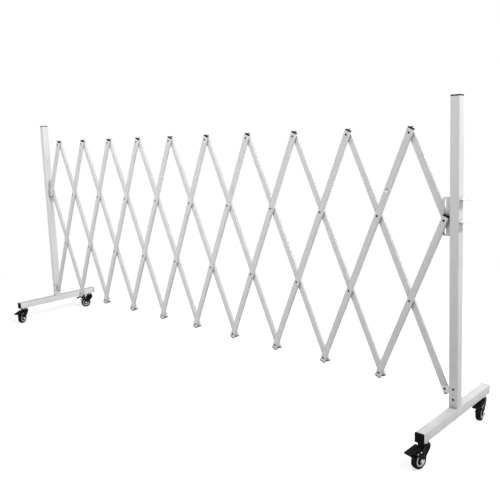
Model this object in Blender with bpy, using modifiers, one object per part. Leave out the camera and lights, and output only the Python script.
"""Expandable safety barrier: a folding lattice between two posts on braked casters.

X runs along the barrier, the front faces -Y and Z is up. The origin is under the middle of the
whole barrier, on the floor. Lengths are in metres.
"""

import math

import bmesh
import bpy
from mathutils import Matrix, Vector

for old in list(bpy.data.objects):
    bpy.data.objects.remove(old, do_unlink=True)

# Lattice
pivot_spacing = 0.390  # between two neighbouring pivots of one bar
bar_lean = math.radians(24)  # of each bar from the vertical, as the barrier stands
cell_count = 10
bar_width = 0.029
bar_depth = 0.0145
bar_wall = 0.0012
bar_past_pivot = 0.023
plug_depth = 0.007  # the closed length at each end of a bar
layer_gap = 0.0025  # between the front bars and the rear bars

# Rivets and pins
shank_radius = 0.003
bush_radius = 0.005
head_radius = 0.005
head_height = 0.0025
head_top_share = 0.6
head_sink = 0.0002  # how deep a fixed head is set in its bar
shank_hole_radius = 0.0038
bush_hole_radius = 0.006
rivet_sides = 8

# Posts, beams and caps
tube_size = 0.040
tube_wall = 0.0015
tube_corner = 0.0025
post_height = 1.275  # above the beam, with its cap
post_to_pivot = 0.028
beam_length = 0.600  # with both caps
beam_underside = 0.106
row_above_beam = 0.066  # bottom row of pivots
cap_flange = 0.005
cap_corner = 0.0015
plug_length = 0.010
seat_gap = 0.0003

# Plates welded to the posts
plate_thickness = 0.002
guide_below = 0.063
guide_above = 0.095
guide_past_pin = 0.013
guide_corner = 0.008
slot_below = 0.056
slot_above = 0.088
slot_width = 0.007
hinge_lug_height = 0.032
hinge_lug_past_pin = 0.012
hinge_lug_corner = 0.008
joining_lug_reach = 0.040
joining_lug_width = 0.036
joining_lug_thickness = 0.003
joining_lug_corner = 0.008
joining_hole_radius = 0.006
upper_lug_above_row = 0.089  # from the row of slider pins
lower_lug_above_row = -0.001

# Sleeve that joins each post to its beam, with its two screws
sleeve_height = 0.100
sleeve_wall = 0.002
screw_heights = (0.036, 0.080)
screw_hole_radius = 0.0036

# Catch plate on the last long front bar
catch_along_bar = 0.903
catch_width = 0.014
catch_height = 0.022
catch_thickness = 0.0015
catch_screw_radius = 0.0035
catch_screw_share = 0.3

# Casters, drawn from the swivel axis under the beam. Outlines are in shares of the hub's drop
caster_inset = 0.036
caster_turns = {"right_front": -12, "right_back": 8, "left_front": 26, "left_back": -20}  # degrees
hub_drop = 0.0715
caster_trail = 0.0287
cheek_back_shares = (
    (-0.224, -0.120),
    (0.130, -0.081),
    (0.259, -0.161),
    (0.315, -0.312),
    (0.294, -0.434),
    (0.179, -0.608),
    (0.035, -0.762),
    (-0.098, -0.909),
)
cheek_front_shares = (
    (-0.510, -0.839),
    (-0.615, -0.692),
    (-0.769, -0.601),
    (-0.804, -0.476),
    (-0.699, -0.406),
    (-0.280, -0.378),
)
cheek_end_radius = 0.011
housing_half_width = 0.01575
pocket_half_width = 0.0125
pocket_radius = 0.0375
pedal_slot_shares = ((-0.860, -0.800), (0.000, -0.370))
cheek_rivet_shares = (-0.438, -0.492)
cheek_rivet_radius = 0.003
cheek_rivet_end = 0.0172
swivel_radius = 0.0175
swivel_height = 0.016
stem_radius = 0.005
stem_hole_radius = 0.0056
stem_nut_radius = 0.008
stem_nut_height = 0.005
wheel_half_width = 0.012
hub_half_width = 0.0122
hub_radius = 0.009
tread_chamfer = 0.0035
axle_radius = 0.004
axle_hole_radius = 0.0045
axle_head_radius = 0.0075
axle_head_height = 0.0058
wheel_sides = 20

# Brake pedal: a wide plate on a web whose boss sits just above the tyre
pedal_reach = 0.0956  # from the swivel axis to the tip
pedal_pivot_shares = (-0.705, -0.501)
pedal_root_shares = (-0.420, -0.161)
pedal_tip_share = -0.354
pedal_plate = 0.0045
plate_half_width = 0.0167
web_half_width = 0.0119
web_front_shares = (-0.950, -0.330)
web_back_shares = (-0.470, -0.270)
pedal_boss_radius = 0.0063
pedal_pin_radius = 0.0025
pedal_pin_hole_radius = 0.003
pedal_pin_end = 0.0172

# Derived sizes
wheel_radius = beam_underside - hub_drop
step = 2 * pivot_spacing * math.sin(bar_lean)
rise = pivot_spacing * math.cos(bar_lean)
post_centre_to_pivot = post_to_pivot + tube_size / 2
caster_y = beam_length / 2 - caster_inset


def pedal_corner(place, side):
    """Where a front corner of a pedal lies from its swivel axis, with the caster as it is turned."""
    turn = math.radians(caster_turns[place])
    across, along = side * plate_half_width, -pedal_reach
    return (
        across * math.cos(turn) - along * math.sin(turn),
        across * math.sin(turn) + along * math.cos(turn),
    )


left_reach = -pedal_corner("left_back", -1)[0]  # past the left post's centre
right_reach = tube_size / 2 + joining_lug_reach  # past the right post's centre
front_reach = caster_y - pedal_corner("right_front", 1)[1]
left_post_x = (left_reach - right_reach - cell_count * step) / 2 - post_centre_to_pivot
left_pivot_x = left_post_x + post_centre_to_pivot
right_pivot_x = left_pivot_x + cell_count * step
post_y = (front_reach - beam_length / 2) / 2
beam_top = beam_underside + tube_size
bottom_row = beam_top + row_above_beam
front_face = layer_gap / 2 + bar_depth
tube_inside = tube_size - 2 * tube_wall

WHITE = ((0.86, 0.87, 0.87, 1), 0.38, 0.0)
STEEL = ((0.62, 0.62, 0.61, 1), 0.32, 1.0)
BLACK = ((0.012, 0.012, 0.013, 1), 0.48, 0.0)
TYRE = ((0.020, 0.020, 0.021, 1), 0.62, 0.0)

# The cutters' collection also holds each master shape until the parts use its mesh
parts = bpy.data.collections.new("expandable_safety_barrier")
cutters = bpy.data.collections.new("cutters")
for group in (parts, cutters):
    bpy.context.scene.collection.children.link(group)
axes_at = {}  # each empty's own place in the world, by its name


def as_object(name, shape):
    """Puts a bmesh in a new object, kept with the cutters until it is used as a part."""
    bmesh.ops.recalc_face_normals(shape, faces=shape.faces)
    mesh = bpy.data.meshes.new(name)
    shape.to_mesh(mesh)
    shape.free()
    made = bpy.data.objects.new(name, mesh)
    cutters.objects.link(made)
    made.hide_render = True
    made.display_type = "WIRE"
    return made


def box(name, low, high):
    """A block between two opposite corners."""
    low, high = Vector(low), Vector(high)
    shape = bmesh.new()
    bmesh.ops.create_cube(shape, size=1)
    place = Matrix.Translation((low + high) / 2) @ Matrix.Diagonal((*(high - low), 1))
    bmesh.ops.transform(shape, matrix=place, verts=shape.verts)
    return as_object(name, shape)


def rods(name, pairs, radius, sides):
    """Separate round rods in one mesh, each from its start to its end."""
    shape = bmesh.new()
    for start, end in pairs:
        along = Vector(end) - Vector(start)
        turn = along.to_track_quat("Z", "X").to_matrix().to_4x4()
        place = Matrix.Translation((Vector(start) + Vector(end)) / 2) @ turn
        bmesh.ops.create_cone(
            shape,
            cap_ends=True,
            segments=sides,
            radius1=radius,
            radius2=radius,
            depth=along.length,
            matrix=place,
        )
    return as_object(name, shape)


def bake(part):
    """Makes the modifiers part of the mesh, so that copies can share it, and drops their tools."""
    graph = bpy.context.evaluated_depsgraph_get()
    mesh = bpy.data.meshes.new_from_object(part.evaluated_get(graph))
    tools = [m.object for m in part.modifiers if m.type == "BOOLEAN"]
    part.modifiers.clear()
    part.data = mesh
    for tool in tools:
        bpy.data.objects.remove(tool, do_unlink=True)
    return part


def cut(part, tool, operation="DIFFERENCE"):
    """Cuts a tool out of a part, or joins it on, with an exact Boolean."""
    boolean = part.modifiers.new(tool.name, "BOOLEAN")
    boolean.operation = operation
    boolean.solver = "EXACT"
    boolean.object = tool
    return part


def turned(name, profile, sides, closed=False):
    """A shape turned about Z, from a profile that runs down its outer side."""
    mesh = bpy.data.meshes.new(name)
    count = len(profile)
    edges = [(i, i + 1) for i in range(count - 1)] + ([(count - 1, 0)] if closed else [])
    mesh.from_pydata([(radius, 0, height) for radius, height in profile], edges, [])
    made = bpy.data.objects.new(name, mesh)
    cutters.objects.link(made)
    made.hide_render = True
    screw = made.modifiers.new("turn", "SCREW")
    screw.angle = math.tau
    screw.steps = screw.render_steps = sides
    screw.use_merge_vertices = True
    screw.merge_threshold = seat_gap / 30
    return bake(made)


def slab(name, outlines, thickness, turn):
    """A flat outline, with any inner outlines as holes, made thick and turned into place."""
    curve = bpy.data.curves.new(name, "CURVE")
    curve.dimensions = "2D"
    curve.fill_mode = "BOTH"
    curve.extrude = thickness / 2
    for outline in outlines:
        spline = curve.splines.new("POLY")
        spline.points.add(len(outline) - 1)
        for point, (across, up) in zip(spline.points, outline):
            point.co = (across, up, 0, 1)
        spline.use_cyclic_u = True
    flat = bpy.data.objects.new(name, curve)
    cutters.objects.link(flat)
    graph = bpy.context.evaluated_depsgraph_get()
    mesh = bpy.data.meshes.new_from_object(flat.evaluated_get(graph))
    shape = bmesh.new()
    shape.from_mesh(mesh)
    bmesh.ops.remove_doubles(shape, verts=shape.verts, dist=seat_gap / 30)
    bmesh.ops.transform(shape, matrix=turn, verts=shape.verts)
    bpy.data.objects.remove(flat, do_unlink=True)
    return as_object(name, shape)


# An outline drawn in X and Y stands up in X and Z, or lies along Y and Z with its thickness in X.
UPRIGHT = Matrix(((1, 0, 0, 0), (0, 0, -1, 0), (0, 1, 0, 0), (0, 0, 0, 1)))
SIDEWAYS = Matrix(((0, 0, 1, 0), (1, 0, 0, 0), (0, 1, 0, 0), (0, 0, 0, 1)))
FLAT = Matrix.Identity(4)


def arc(centre, radius, start, end, count):
    """Points along an arc, with its angles in degrees."""
    angles = [math.radians(start + (end - start) * i / (count - 1)) for i in range(count)]
    return [(centre[0] + radius * math.cos(a), centre[1] + radius * math.sin(a)) for a in angles]


def tab(left, right, bottom, top, corner):
    """A rectangle whose two left corners are rounded."""
    return (
        [(right, bottom), (right, top)]
        + arc((left + corner, top - corner), corner, 90, 180, 4)
        + arc((left + corner, bottom + corner), corner, 180, 270, 4)
    )


def soften(part, width, all_edges=False):
    """Rounds the edges of a block, or only the four that run along its length."""
    mesh = part.data
    edges = [(mesh.vertices[a].co - mesh.vertices[b].co).length for a, b in mesh.edge_keys]
    weights = mesh.attributes.new("bevel_weight_edge", "FLOAT", "EDGE")
    for length, weight in zip(edges, weights.data):
        is_long = length > max(edges) - tube_corner
        weight.value = 1.0 if is_long or all_edges else 0.0
    bevel = part.modifiers.new("corners", "BEVEL")
    bevel.limit_method = "WEIGHT"
    bevel.width = width
    bevel.segments = 2
    return part


def axis(name, where, parent=None, turn=0):
    """An empty on a joint's axis, at a point in the world, turned about Z."""
    empty = bpy.data.objects.new(name, None)
    empty.empty_display_size = tube_size
    parts.objects.link(empty)
    axes_at[name] = Matrix.Translation(Vector(where)) @ Matrix.Rotation(turn, 4, "Z")
    empty.parent = parent
    empty.location = axes_at[parent.name].inverted() @ Vector(where) if parent else where
    empty.rotation_euler = (0, 0, turn)
    return empty


def use(name, master, look, parent, where, turn=(0, 0, 0)):
    """A part in the barrier: its own object and material on the master's mesh."""
    made = bpy.data.objects.new(name, master.data)
    parts.objects.link(made)
    colour, roughness, metallic = look
    material = bpy.data.materials.new(name)
    material.use_nodes = True
    shader = material.node_tree.nodes["Principled BSDF"]
    shader.inputs["Base Color"].default_value = colour
    shader.inputs["Roughness"].default_value = roughness
    shader.inputs["Metallic"].default_value = metallic
    if not made.data.materials:
        made.data.materials.append(material)
    made.material_slots[0].link = "OBJECT"
    made.material_slots[0].material = material
    made.parent = parent
    made.location = axes_at[parent.name].inverted() @ Vector(where)
    made.rotation_euler = turn
    return made


def shade(part):
    """Shades the round faces smooth and keeps the corners sharp."""
    part.data.shade_smooth()
    part.data.set_sharp_from_angle(angle=math.radians(40))
    return part


def pivot(row, number):
    """The world place of a pivot, in the plane between the layers. The rows are t, u, m and b."""
    level = {"t": 3, "u": 2, "m": 1, "b": 0}[row]
    across = number + (0.5 if row in "tm" else 0)
    return Vector((left_pivot_x + across * step, post_y, bottom_row + level * rise))


def pin(name, place, reach, bush_end, flip=False):
    """A rivet laid along Y: its fixed head is on a bar's outer face, the other head past reach."""
    top = head_radius * head_top_share
    profile = [(0, head_height), (top, head_height), (head_radius, -head_sink)]
    if bush_end:
        profile += [(bush_radius, -head_sink - seat_gap), (bush_radius, -bush_end)]
        profile += [(shank_radius, -bush_end)]
    else:
        profile += [(shank_radius, -head_sink)]
    profile += [(shank_radius, -reach), (head_radius, -reach)]
    profile += [(top, -reach - head_height), (0, -reach - head_height)]
    made = turned(name, profile, rivet_sides)
    side = -1 if flip else 1
    turn = Matrix.Rotation(math.radians(90) * side, 4, "X")
    made.data.transform(Matrix.Translation((0, -front_face * side, place)) @ turn)
    return made


through_both = 2 * bar_depth + layer_gap + seat_gap
through_plate = bar_depth + (layer_gap + plate_thickness) / 2 + seat_gap
bush_end = bar_depth + layer_gap - seat_gap


def bar(name, levels, side, kinds):
    """A flat tube with closed ends, standing up from its lowest pivot.

    side is -1 for a front bar and 1 for a rear bar. kinds holds a letter for each pivot: r for a
    rivet with its bush, p for a plain pin, h for a hinge pin through one plate, o for a hole only.
    """
    top = (levels - 1) * pivot_spacing + bar_past_pivot
    inner, outer = sorted((side * layer_gap / 2, side * front_face))
    made = box(name, (-bar_width / 2, inner, -bar_past_pivot), (bar_width / 2, outer, top))
    hollow = box(
        name + "_hollow",
        (bar_wall - bar_width / 2, inner + bar_wall, plug_depth - bar_past_pivot),
        (bar_width / 2 - bar_wall, outer - bar_wall, top - plug_depth),
    )
    cut(made, hollow)
    middle = (inner + outer) / 2
    past = bar_depth * side
    for letters in ("o", "ph", "r"):
        radius = bush_hole_radius if letters == "r" else shank_hole_radius
        start = middle + past if letters == "o" else middle
        holes = [
            ((0, start, n * pivot_spacing), (0, middle - past, n * pivot_spacing))
            for n, kind in enumerate(kinds)
            if kind in letters
        ]
        if holes:
            cut(made, rods(name + "_holes_" + letters, holes, radius, rivet_sides))
    reaches = {"r": (through_both, bush_end), "p": (through_both, 0), "h": (through_plate, 0)}
    for n, kind in enumerate(kinds):
        if kind in reaches:
            rivet = pin(f"{name}_rivet_{n}", n * pivot_spacing, *reaches[kind], flip=side > 0)
            cut(made, rivet, "UNION")
    return shade(bake(made))


long_front = bar("long_front_bar", 4, -1, "rrrr")
long_rear = bar("long_rear_bar", 4, 1, "oooo")
bar_masters = {
    "front_bar_00": bar("short_front_bar", 2, -1, "pr"),
    "front_bar_01": bar("left_hinge_bar", 4, -1, "hrrr"),
    "front_bar_10": bar("middle_front_bar", 3, -1, "rrp"),
    "rear_bar_00": bar("middle_rear_bar", 3, 1, "ooo"),
    "rear_bar_09": bar("right_hinge_bar", 4, 1, "hooo"),
    "rear_bar_10": bar("short_rear_bar", 2, 1, "oo"),
}

# Which joint carries each bar: body, its parent body, and the pivot between them
tree = (
    ("rear_bar_09", "right_frame", "b", 10),
    ("front_bar_08", "rear_bar_09", "t", 8),
    ("rear_bar_06", "front_bar_08", "b", 7),
    ("front_bar_05", "rear_bar_06", "t", 5),
    ("rear_bar_03", "front_bar_05", "b", 4),
    ("front_bar_02", "rear_bar_03", "t", 2),
    ("rear_bar_02", "front_bar_02", "u", 2),
    ("front_bar_01", "rear_bar_02", "t", 1),
    ("left_frame", "front_bar_01", "b", 0),
    ("front_bar_09", "rear_bar_09", "u", 9),
    ("front_bar_10", "rear_bar_09", "m", 9),
    ("rear_bar_10", "front_bar_09", "t", 9),
    ("rear_bar_08", "front_bar_08", "u", 8),
    ("rear_bar_07", "front_bar_08", "m", 7),
    ("front_bar_07", "rear_bar_06", "m", 6),
    ("front_bar_06", "rear_bar_06", "u", 6),
    ("rear_bar_05", "front_bar_05", "u", 5),
    ("rear_bar_04", "front_bar_05", "m", 4),
    ("front_bar_04", "rear_bar_03", "m", 3),
    ("front_bar_03", "rear_bar_03", "u", 3),
    ("rear_bar_01", "front_bar_02", "m", 1),
    ("rear_bar_00", "front_bar_02", "b", 1),
    ("front_bar_00", "rear_bar_01", "t", 0),
)
bodies = {"right_frame": axis("right_frame", pivot("b", cell_count))}
for body, parent, row, number in tree:
    bodies[body] = axis(body + "_axis", pivot(row, number), bodies[parent])
    if body == "left_frame":
        continue
    side, index = body.split("_bar_")
    if side == "front":
        foot, lean, usual = ("b", int(index) - 1), bar_lean, long_front
    else:
        foot, lean, usual = ("b", int(index) + 1), -bar_lean, long_rear
    foot = {"front_bar_00": ("u", 0), "rear_bar_10": ("u", cell_count)}.get(body, foot)
    use(body, bar_masters.get(body, usual), WHITE, bodies[body], pivot(*foot), (0, lean, 0))

# Catch plate with its screw, on the front face of the last long front bar
catch = box(
    "catch",
    (-catch_width / 2, -front_face - seat_gap - catch_thickness, -catch_height / 2),
    (catch_width / 2, -front_face - seat_gap, catch_height / 2),
)
screw_z = catch_height * catch_screw_share
screw_start = -front_face - seat_gap - catch_thickness / 2
screw_ends = ((0, screw_start - head_height, screw_z), (0, screw_start, screw_z))
cut(catch, rods("catch_screw", [screw_ends], catch_screw_radius, wheel_sides // 2), "UNION")
along = Vector((math.sin(bar_lean), 0, math.cos(bar_lean))) * catch_along_bar
catch_at = pivot("b", 8) + along
use("catch_plate", shade(bake(catch)), WHITE, bodies["front_bar_09"], catch_at, (0, bar_lean, 0))

# Posts, beams and their caps
half, inside = tube_size / 2, tube_inside / 2
post_length = post_height - cap_flange - 2 * seat_gap
post = box("post", (-half, -half, 0), (half, half, post_length))
soften(post, tube_corner)
cut(post, box("post_hollow", (-inside, -inside, -half), (inside, inside, post_length + half)))
screw_holes = [((0, -tube_size, z - seat_gap), (0, 0, z - seat_gap)) for z in screw_heights]
cut(post, rods("post_screw_holes", screw_holes, screw_hole_radius, rivet_sides))
shade(bake(post))

beam_end = beam_length / 2 - cap_flange - seat_gap
beam = box("beam", (-half, -beam_end, 0), (half, beam_end, tube_size))
soften(beam, tube_corner)
beam_hollow = ((-inside, -beam_length, tube_wall), (inside, beam_length, tube_size - tube_wall))
cut(beam, box("beam_hollow", *beam_hollow))
stem_holes = [((0, y, -half), (0, y, half)) for y in (-caster_y, caster_y)]
cut(beam, rods("beam_stem_holes", stem_holes, stem_hole_radius, rivet_sides))
shade(bake(beam))

cap = box("cap", (-half, -half, 0), (half, half, cap_flange))
soften(cap, cap_corner, all_edges=True)
plug = inside - seat_gap
cut(cap, box("cap_plug", (-plug, -plug, -plug_length), (plug, plug, cap_flange / 2)), "UNION")
shade(bake(cap))

# Sleeve in the foot of each post, with the two screws whose heads are on the post's front
sleeve = box("sleeve", (-plug, -plug, 0), (plug, plug, sleeve_height))
bore = plug - sleeve_wall
cut(sleeve, box("sleeve_bore", (-bore, -bore, -half), (bore, bore, sleeve_height + half)))
post_face = half + seat_gap
shanks = [((0, -post_face - head_height / 2, z), (0, -plug + sleeve_wall / 2, z)) for z in screw_heights]
heads = [((0, -post_face - head_height, z), (0, -post_face, z)) for z in screw_heights]
screws = rods("sleeve_screws", shanks, shank_radius, rivet_sides)
cut(screws, rods("sleeve_screw_heads", heads, head_radius, wheel_sides // 2), "UNION")
bake(screws)
cut(sleeve, screws, "UNION")
shade(bake(sleeve))

# Guide plate, hinge lug and joining lug, each drawn from its pin with the post on the right
plate_edge = post_to_pivot - seat_gap
slot_end = slot_width / 2
slot = arc((0, slot_above - slot_end), slot_end, 0, 180, 7)
slot += arc((0, slot_end - slot_below), slot_end, 180, 360, 7)
guide_outline = tab(-guide_past_pin, plate_edge, -guide_below, guide_above, guide_corner)
guide = slab("guide", (guide_outline, slot), plate_thickness, UPRIGHT)
hinge_outline = tab(
    -hinge_lug_past_pin, plate_edge, -hinge_lug_height / 2, hinge_lug_height / 2, hinge_lug_corner
)
hinge_hole = arc((0, 0), shank_hole_radius, 0, 330, 12)
hinge_lug = slab("hinge_lug", (hinge_outline, hinge_hole), plate_thickness, UPRIGHT)
lug_side = joining_lug_width / 2
lug_outline = tab(-joining_lug_reach, -seat_gap, -lug_side, lug_side, joining_lug_corner)
lug_hole = arc((-joining_lug_reach / 2, 0), joining_hole_radius, 0, 345, 16)
joining_lug = slab("joining_lug", (lug_outline, lug_hole), joining_lug_thickness, FLAT)

# Caster housing: swivel head and stem on top, cheeks round the wheel, a slot for the pedal
hub = (-caster_trail, -hub_drop)


def scaled(shares):
    return [(y * hub_drop, z * hub_drop) for y, z in shares]


outline = scaled(cheek_back_shares) + arc(hub, cheek_end_radius, 0, -160, 7)
outline += scaled(cheek_front_shares)
housing = slab("housing", (outline,), 2 * housing_half_width, SIDEWAYS)
wheel_pocket = [((-pocket_half_width, *hub), (pocket_half_width, *hub))]
cut(housing, rods("housing_pocket", wheel_pocket, pocket_radius, wheel_sides))
slot_low, slot_high = scaled(pedal_slot_shares)
slot_corners = (-pocket_half_width, *slot_low), (pocket_half_width, *slot_high)
cut(housing, box("housing_pedal_slot", *slot_corners))
axle_line = [((-tube_size, *hub), (tube_size, *hub))]
cut(housing, rods("housing_axle_hole", axle_line, axle_hole_radius, rivet_sides))
pedal_pivot = scaled((pedal_pivot_shares,))[0]
pedal_line = [((-tube_size, *pedal_pivot), (tube_size, *pedal_pivot))]
cut(housing, rods("housing_pedal_hole", pedal_line, pedal_pin_hole_radius, rivet_sides))
rivet_at = scaled((cheek_rivet_shares,))[0]
cheek_middle = (pocket_half_width + housing_half_width) / 2
stubs = [((x * cheek_middle, *rivet_at), (x * cheek_rivet_end, *rivet_at)) for x in (-1, 1)]
cut(housing, rods("housing_rivets", stubs, cheek_rivet_radius, rivet_sides), "UNION")
nut_low = tube_wall + seat_gap
nut_high = nut_low + stem_nut_height
stem_profile = (
    (0, nut_high),
    (stem_nut_radius, nut_high),
    (stem_nut_radius, nut_low),
    (stem_radius, nut_low),
    (stem_radius, -seat_gap),
    (swivel_radius, -seat_gap),
    (swivel_radius, -swivel_height),
    (0, -swivel_height),
)
cut(housing, turned("housing_head", stem_profile, 16), "UNION")
shade(bake(housing))

# Wheel, turned about its axle: a hub in a tyre with chamfered shoulders
shoulder = wheel_half_width - tread_chamfer
upper_profile = [
    (axle_hole_radius, hub_half_width),
    (hub_radius, hub_half_width),
    (wheel_radius - tread_chamfer, wheel_half_width),
    (wheel_radius, shoulder),
]
lower_profile = [(radius, -height) for radius, height in reversed(upper_profile)]
wheel = turned("wheel", upper_profile + lower_profile, wheel_sides, closed=True)
wheel.data.transform(Matrix.Rotation(math.radians(90), 4, "Y"))
shade(wheel)

# Axle bolt with a round head outside each cheek
head_start = housing_half_width + seat_gap
head_end = head_start + axle_head_height
shank_end = head_end - seat_gap
axle = rods("axle", [((-shank_end, 0, 0), (shank_end, 0, 0))], axle_radius, rivet_sides)
axle_heads = [((x * head_start, 0, 0), (x * head_end, 0, 0)) for x in (-1, 1)]
cut(axle, rods("axle_heads", axle_heads, axle_head_radius, wheel_sides // 2), "UNION")
shade(bake(axle))

# Brake pedal, drawn from its own pin: wide plate, web, boss and pin
def from_pin(point):
    return point[0] - pedal_pivot[0], point[1] - pedal_pivot[1]


root = scaled((pedal_root_shares,))[0]
tip = (-pedal_reach, pedal_tip_share * hub_drop)
plate_corners = (root, tip, (tip[0], tip[1] - pedal_plate), (root[0], root[1] - pedal_plate))
plate_outline = [from_pin(point) for point in plate_corners]
pedal = slab("pedal", (plate_outline,), 2 * plate_half_width, SIDEWAYS)
web_back, web_front = (from_pin(point) for point in scaled((web_back_shares, web_front_shares)))
web_outline = (web_back, web_front, (-pedal_boss_radius, 0), (pedal_boss_radius, 0))
cut(pedal, slab("pedal_web", (web_outline,), 2 * web_half_width, SIDEWAYS), "UNION")
boss = [((-web_half_width, 0, 0), (web_half_width, 0, 0))]
cut(pedal, rods("pedal_boss", boss, pedal_boss_radius, 16), "UNION")
pedal_pin = [((-pedal_pin_end, 0, 0), (pedal_pin_end, 0, 0))]
cut(pedal, rods("pedal_pin", pedal_pin, pedal_pin_radius, rivet_sides), "UNION")
shade(bake(pedal))

# The two end frames
for place, out, post_x, body in (
    ("right", 1, right_pivot_x + post_centre_to_pivot, bodies["right_frame"]),
    ("left", -1, left_post_x, bodies["left_frame"]),
):
    facing = (0, 0, 0) if out > 0 else (0, 0, math.pi)
    pin_x = post_x - out * post_centre_to_pivot
    post_foot = beam_top + seat_gap
    slider_row = bottom_row + 2 * rise
    use(place + "_post", post, WHITE, body, (post_x, post_y, post_foot))
    use(place + "_post_cap", cap, BLACK, body, (post_x, post_y, beam_top + post_height - cap_flange))
    use(place + "_post_sleeve", sleeve, STEEL, body, (post_x, post_y, post_foot))
    use(place + "_foot_beam", beam, WHITE, body, (post_x, post_y, beam_underside))
    for end, y_out in (("front", -1), ("back", 1)):
        cap_y = post_y + y_out * (beam_length / 2 - cap_flange)
        lay_down = (math.radians(-90) * y_out, 0, 0)
        cap_place = (post_x, cap_y, beam_underside + half)
        use(f"{place}_{end}_beam_cap", cap, BLACK, body, cap_place, lay_down)
    use(place + "_guide_plate", guide, WHITE, body, (pin_x, post_y, slider_row), facing)
    use(place + "_hinge_lug", hinge_lug, WHITE, body, (pin_x, post_y, bottom_row), facing)
    for end, y_out in (("front", -1), ("back", 1)):
        name = f"{place}_{end}"
        swivel_at = Vector((post_x, post_y + y_out * caster_y, beam_underside))
        swivel = axis(name + "_caster_axis", swivel_at, body, math.radians(caster_turns[name]))
        hub_at = axes_at[swivel.name] @ Vector((0, *hub))
        pedal_at = axes_at[swivel.name] @ Vector((0, *pedal_pivot))
        use(name + "_caster_housing", housing, BLACK, swivel, swivel_at)
        use(name + "_caster_axle", axle, STEEL, swivel, hub_at)
        use(name + "_caster_wheel", wheel, TYRE, swivel, hub_at)
        use(name + "_brake_pedal", pedal, BLACK, swivel, pedal_at)

lug_x = right_pivot_x + post_to_pivot + tube_size
for name, above in (("upper", upper_lug_above_row), ("lower", lower_lug_above_row)):
    lug_at = (lug_x, post_y, bottom_row + 2 * rise + above)
    use(name + "_joining_lug", joining_lug, WHITE, bodies["right_frame"], lug_at, (0, 0, math.pi))

for master in list(cutters.objects):
    bpy.data.objects.remove(master, do_unlink=True)
